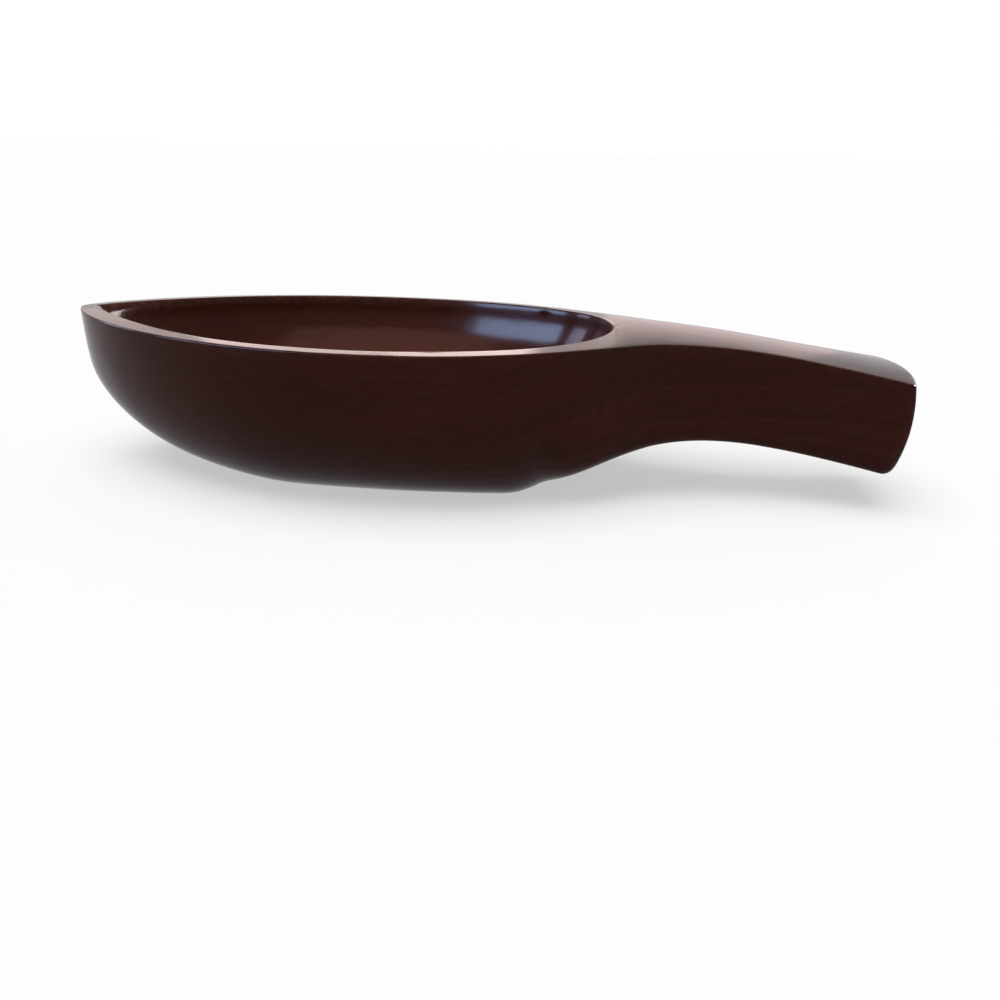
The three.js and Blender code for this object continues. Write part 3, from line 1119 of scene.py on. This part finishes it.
    def finish(self, material: bpy.types.Material) -> ShapeTree:
        """Joins the surfaces with their mirror image and gives them their finish.

        Args:
            material: the wood.

        Returns:
            The finished tree.
        """
        tree = self.tree
        half = tree.joined(self.bowl(), self.cap(), self.skin())
        mirrored = tree.node("GeometryNodeTransform", {"Geometry": half, "Scale": (1, -1, 1)}).outputs[0]
        whole = tree.joined(half, tree.turned_over(mirrored))
        feeds = {"Geometry": whole, "Distance": self.MERGE_DISTANCE}
        merged = tree.node("GeometryNodeMergeByDistance", feeds).outputs[0]
        smoothed = tree.node("GeometryNodeSetShadeSmooth", {"Geometry": self.marked(merged)})
        realized = tree.node("GeometryNodeRealizeInstances", {"Geometry": smoothed.outputs[0]})
        feeds = {"Geometry": realized.outputs[0], "Material": material}
        tree.result([tree.node("GeometryNodeSetMaterial", feeds).outputs[0]], "NodeSocketGeometry")
        return tree


@dataclass(frozen=True)
class PolishedWood:
    """Dark red-brown wood under a clear gloss finish, with its grain along X.

    A scale is how many bumps of a noise there are to the metre, and scales are that along the
    grain and across it. The growth rings lie round the pith, given by its Y and Z. The tones are
    the places of deep, heart and glow on the ramp of colours. The first of a pair of thresholds
    is where an effect starts, and the second where it is full.
    """

    name: str = "polished_wood"
    deep: Triple = (0.018, 0.0030, 0.0018)
    heart: Triple = (0.036, 0.0062, 0.0036)
    glow: Triple = (0.062, 0.0125, 0.0068)
    worn: Triple = (0.26, 0.13, 0.095)
    tones: Triple = (0.2, 0.5, 0.85)
    # How far the painted glow lifts the tone in the hollow, standing for light bounced inside it.
    warmth: float = 0.32
    contrast: float = 0.45
    pith: Pair = (0.06, -0.16)
    ring_wander: float = 0.03
    wander_scales: Pair = (2.4, 8)
    cloud_scales: Pair = (8, 16)
    ring_scales: Pair = (0.5, 260)
    fibre_scales: Pair = (11, 520)
    pore_scales: Pair = (90, 1900)
    pore_threshold: Pair = (0.42, 0.3)
    pore_depth: float = 0.5
    rub_scale: float = 260
    rub_threshold: Pair = (0.35, 0.75)
    rub_strength: float = 0.13
    relief: float = 0.00005
    relief_strength: float = 0.5
    relief_of_fibres: float = 0.35
    ripple_scale: float = 60
    ripple: float = 0.0004
    ripple_strength: float = 0.3
    ripple_of_fibres: float = 0.06
    roughness: float = 0.5
    roughness_of_fibres: float = 0.3
    roughness_of_wear: float = 0.2
    coat_roughness: float = 0.15
    coat_ior: float = 1.16

    def stretched(self, tree: Tree, place: bpy.types.NodeSocket, scales: Pair, detail: int) -> Value:
        """Gives a noise drawn out along the grain.

        Args:
            tree: the material's tree.
            place: where it is read.
            scales: how many of its bumps there are to the metre along the grain and across it.
            detail: how many finer layers it has.

        Returns:
            The noise.
        """
        x, y, z = tree.parts(place)
        along, across = scales
        return tree.noise(tree.point(x * along, y * across, z * across), scale=1, detail=detail)

    def grain(self, tree: Tree, place: bpy.types.NodeSocket, fibres: Value) -> Value:
        """Finds the tone of the grain: its growth rings, clouds and fibres, lighter and warmer in the hollow as
        a painted glow of light bounced inside it.

        Args:
            tree: the material's tree.
            place: where it is read.
            fibres: the noise of the fibres.

        Returns:
            The tone, as a place on the ramp of colours.
        """
        x, y, z = tree.parts(place)
        clouds = self.stretched(tree, place, self.cloud_scales, detail=3)
        wander = self.stretched(tree, place, self.wander_scales, detail=2) - NOISE_MEAN
        off_y, off_z = y - self.pith[0], z - self.pith[1]
        rings = (off_y * off_y + off_z * off_z).apply("SQRT") + wander * self.ring_wander
        along, across = self.ring_scales
        bands = tree.noise(tree.point(rings * across, x * along, 0), scale=1, detail=3)
        shelter = Value(tree, tree.node("ShaderNodeAttribute", attribute_name=SHELTER).outputs["Fac"])
        figure = bands + clouds + fibres - 3 * NOISE_MEAN
        # The painted glow lifts the tone in the hollow, standing for light bounced inside it.
        return self.tones[1] + figure * self.contrast + shelter * self.warmth

    def material(self) -> bpy.types.Material:
        """Builds the material.

        Returns:
            The material, named as the record's slot is.
        """
        made = bpy.data.materials.new(self.name)
        tree = Tree.of(made)
        place = tree.node("ShaderNodeTexCoord").outputs["Object"]
        fibres = self.stretched(tree, place, self.fibre_scales, detail=4)
        pores = self.stretched(tree, place, self.pore_scales, detail=1)
        ramp = tree.node("ShaderNodeValToRGB", {"Fac": self.grain(tree, place, fibres)})
        stops = ramp.color_ramp.elements
        stops[0].position, stops[0].color = self.tones[0], (*self.deep, 1)
        stops[1].position, stops[1].color = self.tones[2], (*self.glow, 1)
        stops.new(self.tones[1]).color = (*self.heart, 1)
        wear = Value(tree, tree.node("ShaderNodeAttribute", attribute_name=WEAR).outputs["Fac"])
        rubbed = smooth(tree.noise(place, self.rub_scale, detail=3), *self.rub_threshold)
        worn = wear * rubbed * self.rub_strength
        pore_shade = smooth(pores, *self.pore_threshold) * self.pore_depth
        colour = tree.colours(worn, tree.colours(pore_shade, ramp.outputs["Color"], self.deep), self.worn)
        fibre = fibres - NOISE_MEAN
        bump = tree.node("ShaderNodeBump", {
            "Height": fibre * self.relief_of_fibres - pore_shade,
            "Distance": self.relief,
            "Strength": self.relief_strength,
        })
        coat_bump = tree.node("ShaderNodeBump", {
            "Height": tree.noise(place, self.ripple_scale) + fibre * self.ripple_of_fibres,
            "Distance": self.ripple,
            "Strength": self.ripple_strength,
        })
        rough = self.roughness + fibre * self.roughness_of_fibres + worn * self.roughness_of_wear
        shader = tree.node("ShaderNodeBsdfPrincipled", {
            "Base Color": colour,
            "Roughness": rough,
            "Normal": bump.outputs[0],
            "Specular IOR Level": 0.0,
            "Coat Weight": 1.0,
            "Coat Roughness": self.coat_roughness,
            "Coat IOR": self.coat_ior,
            "Coat Normal": coat_bump.outputs[0],
        })
        tree.node("ShaderNodeOutputMaterial", {"Surface": shader.outputs[0]})
        return made


def add_object(name: str, data: bpy.types.ID) -> bpy.types.Object:
    """Adds an object to the scene.

    Args:
        name: its name.
        data: its mesh, lamp or camera.

    Returns:
        The object.
    """
    added = bpy.data.objects.new(name, data)
    bpy.context.scene.collection.objects.link(added)
    return added


@dataclass(frozen=True)
class ServingDish:
    """The dish: one piece of wood, carved to its plan and its side view and hollowed out."""

    shape: Shape
    steps: Steps = Steps()
    wood: PolishedWood = PolishedWood()

    def build(self) -> bpy.types.Object:
        """Carves the dish and planes its foot.

        Returns:
            The dish as a plain mesh.
        """
        tree = Carving(self.shape, self.steps).finish(self.wood.material())
        piece = add_object("serving_dish", bpy.data.meshes.new("serving_dish"))
        modifier = piece.modifiers.new("Carving", "NODES")
        modifier.node_group = tree.group
        for identifier, value in tree.settings.items():
            modifier[identifier] = value
        evaluated = piece.evaluated_get(bpy.context.evaluated_depsgraph_get())
        mesh = bpy.data.meshes.new_from_object(evaluated)
        piece.modifiers.remove(modifier)
        self.plane_foot(mesh)
        piece.data = mesh
        return piece

    def plane_foot(self, mesh: bpy.types.Mesh) -> None:
        """Cuts off what lies below the standing surface and closes the foot with a flat face.

        Args:
            mesh: the dish's mesh.
        """
        solid = bmesh.new()
        solid.from_mesh(mesh)
        everything = [*solid.verts, *solid.edges, *solid.faces]
        cut = bmesh.ops.bisect_plane(
            solid, geom=everything, plane_co=(0, 0, 0), plane_no=(0, 0, -1), clear_outer=True
        )
        border = [edge for edge in cut["geom_cut"] if isinstance(edge, bmesh.types.BMEdge)]
        foot = bmesh.ops.contextual_create(solid, geom=border)["faces"]
        bmesh.ops.triangulate(solid, faces=foot)
        for edge in border:
            edge.smooth = False
        bmesh.ops.recalc_face_normals(solid, faces=solid.faces)
        solid.to_mesh(mesh)
        solid.free()

    def dress(self, piece: bpy.types.Object) -> None:
        """Says what the piece rides on and what it stands for.

        Args:
            piece: the dish.
        """
        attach(piece, next(iter(frame["bodies"])))
        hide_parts("dish")


class Mirrored(Enum):
    """What mirrors a bright pane."""

    RIM = "rim pane"
    HANDLE = "handle pane"
    FAR_WALL = "window pane"
    FAR_WALL_END = "narrow window pane"
    NOSE = "nose pane"
    LOW_WALL = "room pane"


def towards(azimuth: float, elevation: float) -> Vector:
    """Gives a direction.

    Args:
        azimuth: its angle from +Y towards +X, in degrees.
        elevation: its angle above the floor, in degrees.

    Returns:
        The direction, of length 1.
    """
    turn, rise = math.radians(azimuth), math.radians(elevation)
    return Vector((math.sin(turn) * math.cos(rise), math.cos(turn) * math.cos(rise), math.sin(rise)))


def hang(name: str, kind: str, place: Vector, direction: Vector) -> bpy.types.Object:
    """Hangs a lamp.

    Args:
        name: its name.
        kind: its type.
        place: where it hangs.
        direction: where it shines.

    Returns:
        The lamp, which the camera itself doesn't see.
    """
    hung = add_object(name, bpy.data.lights.new(name, kind))
    hung.location = place
    hung.rotation_euler = direction.to_track_quat("-Z", "Y").to_euler()
    hung.visible_camera = False
    return hung


@dataclass(frozen=True)
class Sun:
    """The light from above, as wide and soft as a bright sky."""

    azimuth: float = -140
    elevation: float = 78
    width: float = 55
    strength: float = 2.5

    def build(self) -> None:
        """Hangs the sun."""
        direction = towards(self.azimuth, self.elevation)
        sun = hang("sun", "SUN", direction, -direction)
        sun.data.energy = self.strength
        sun.data.angle = math.radians(self.width)
        sun.visible_glossy = False


@dataclass(frozen=True)
class Pane:
    """A bright pane, such as a window, that shows in the gloss and lights nothing.

    Seen from the place on the dish that mirrors it, it spans its azimuths and its elevations, in
    degrees as towards() counts them.
    """

    mirrored: Mirrored
    azimuths: tuple[float, float]
    elevations: tuple[float, float]
    radiance: float
    colour: Triple = (1, 1, 1)
    seen_from: Triple = (0, 0, 0.08)
    distance: float = 2.5

    def build(self) -> None:
        """Hangs the pane."""
        turns = [math.radians(angle) for angle in self.azimuths]
        rises = [math.radians(angle) for angle in self.elevations]
        outward = towards(sum(self.azimuths) / 2, sum(self.elevations) / 2)
        width = 2 * self.distance * math.tan((turns[1] - turns[0]) / 2) * math.cos(sum(rises) / 2)
        height = 2 * self.distance * math.tan((rises[1] - rises[0]) / 2)
        place = Vector(self.seen_from) + outward * self.distance
        pane = hang(self.mirrored.value, "AREA", place, -outward)
        pane.data.shape = "RECTANGLE"
        pane.data.size = width
        pane.data.size_y = height
        pane.data.energy = math.pi * width * height * self.radiance
        pane.data.color = self.colour
        pane.visible_diffuse = False


@dataclass(frozen=True)
class Camera:
    """The camera, at the photograph's viewing angle. Its lens and sensor are in millimetres."""

    place: Triple = (0.1027375, -0.4326385, 0.1650433)
    yaw: float = math.radians(5.8318)
    pitch: float = math.radians(22.6286)
    roll: float = math.radians(1.2608)
    lens: float = 30.6
    sensor: float = 36.0
    nearest: float = 0.01

    def build(self) -> None:
        """Sets the camera up and makes it the scene's."""
        data = bpy.data.cameras.new("camera")
        data.lens = self.lens
        data.sensor_width = self.sensor
        data.clip_start = self.nearest
        camera = add_object("camera", data)
        level = Matrix.Rotation(self.yaw, 4, "Z") @ Matrix.Rotation(QUARTER_TURN - self.pitch, 4, "X")
        camera.matrix_world = Matrix.Translation(self.place) @ level @ Matrix.Rotation(self.roll, 4, "Z")
        bpy.context.scene.camera = camera


@dataclass(frozen=True)
class Studio:
    """A pale floor, a pale surround, soft light from above and panes that the gloss shows."""

    floor_size: float = 60.0
    floor_colour: Triple = (0.45, 0.45, 0.45)
    floor_lift: float = 0.5
    fill: float = 0.3
    panes: tuple[Pane, ...] = (
        Pane(Mirrored.RIM, (-44, 5), (11, 27), 1.4, (1, 0.78, 0.75)),
        Pane(Mirrored.RIM, (-29, -1.5), (12, 26), 3.8, (1, 0.76, 0.72)),
        Pane(Mirrored.RIM, (-14, -2), (12, 26), 2.4, (1, 0.8, 0.74)),
        Pane(Mirrored.HANDLE, (0, 19), (1, 17), 0.8, (1, 0.6, 0.6), (0.16, 0, 0.08)),
        Pane(Mirrored.FAR_WALL, (-149, -108), (3, 18), 48, (0.41, 0.6, 1), (0.05, 0.06, 0.07)),
        Pane(Mirrored.FAR_WALL_END, (-97, -80), (3, 18), 22, (0.6, 0.68, 1), (0.07, 0.05, 0.07)),
        Pane(Mirrored.NOSE, (45, 103), (13, 36), 80, (1, 1, 1), (-0.15, 0, 0.075)),
        Pane(Mirrored.LOW_WALL, (-200, -140), (20, 50), 4, (1, 0.6, 0.48), (0, 0.06, 0.06)),
    )

    def build(self) -> None:
        """Sets up the camera, the floor, the surround, the sun and the panes."""
        Camera().build()
        self.floor()
        self.surround()
        Sun().build()
        for pane in self.panes:
            pane.build()
        bpy.context.scene.view_settings.view_transform = "Standard"

    def shown(self, tree: Tree) -> Value:
        """Finds whether a surface is looked at, mirrored or seen through something.

        Args:
            tree: the material's or the world's tree.

        Returns:
            1 where it is, and 0 where it only lights other things.
        """
        path = tree.node("ShaderNodeLightPath")
        looked_at = Value(tree, path.outputs["Is Camera Ray"])
        mirrored = Value(tree, path.outputs["Is Glossy Ray"])
        seen_through = Value(tree, path.outputs["Is Transmission Ray"])
        return (looked_at + mirrored + seen_through).held(0, 1)

    def floor(self) -> None:
        """Lays the floor."""
        half = self.floor_size / 2
        mesh = bpy.data.meshes.new("floor")
        corners = [(-half, -half, 0), (half, -half, 0), (half, half, 0), (-half, half, 0)]
        mesh.from_pydata(corners, [], [(0, 1, 2, 3)])
        made = bpy.data.materials.new("floor")
        tree = Tree.of(made)
        pale = tree.node("ShaderNodeBsdfDiffuse", {"Color": (*self.floor_colour, 1)})
        lift = tree.node("ShaderNodeEmission", {"Strength": self.shown(tree) * self.floor_lift})
        shader = tree.node("ShaderNodeAddShader", {0: pale.outputs[0], 1: lift.outputs[0]})
        tree.node("ShaderNodeOutputMaterial", {"Surface": shader.outputs[0]})
        mesh.materials.append(made)
        floor = add_object("floor", mesh)
        floor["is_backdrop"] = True

    def surround(self) -> None:
        """Makes the surround a soft fill light, and plain white where it is looked at or mirrored."""
        world = bpy.data.worlds.new("surround")
        bpy.context.scene.world = world
        tree = Tree.of(world)
        strength = mix(self.fill, 1, self.shown(tree))
        light = tree.node("ShaderNodeBackground", {"Color": (1, 1, 1, 1), "Strength": strength})
        tree.node("ShaderNodeOutputWorld", {"Surface": light.outputs[0]})


def main() -> None:
    """Builds the studio and the dish, and works out the sizes of the frame and of the dish."""
    logging.basicConfig(level=logging.INFO, format="%(name)s: %(message)s")
    Studio().build()
    low, high = CAD_BOX
    plan = replace(Plan(), beam_width=high.y - low.y)
    dish = ServingDish(Shape(nose=low.x, plan=plan))
    piece = dish.build()
    dish.dress(piece)
    log.info("%s: %d points, %d faces", piece.name, len(piece.data.vertices), len(piece.data.polygons))
    boxes = {"cad": [list(corner) for corner in CAD_BOX], "visual": [list(corner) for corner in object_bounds()]}


if __name__ == "__main__":
    main()
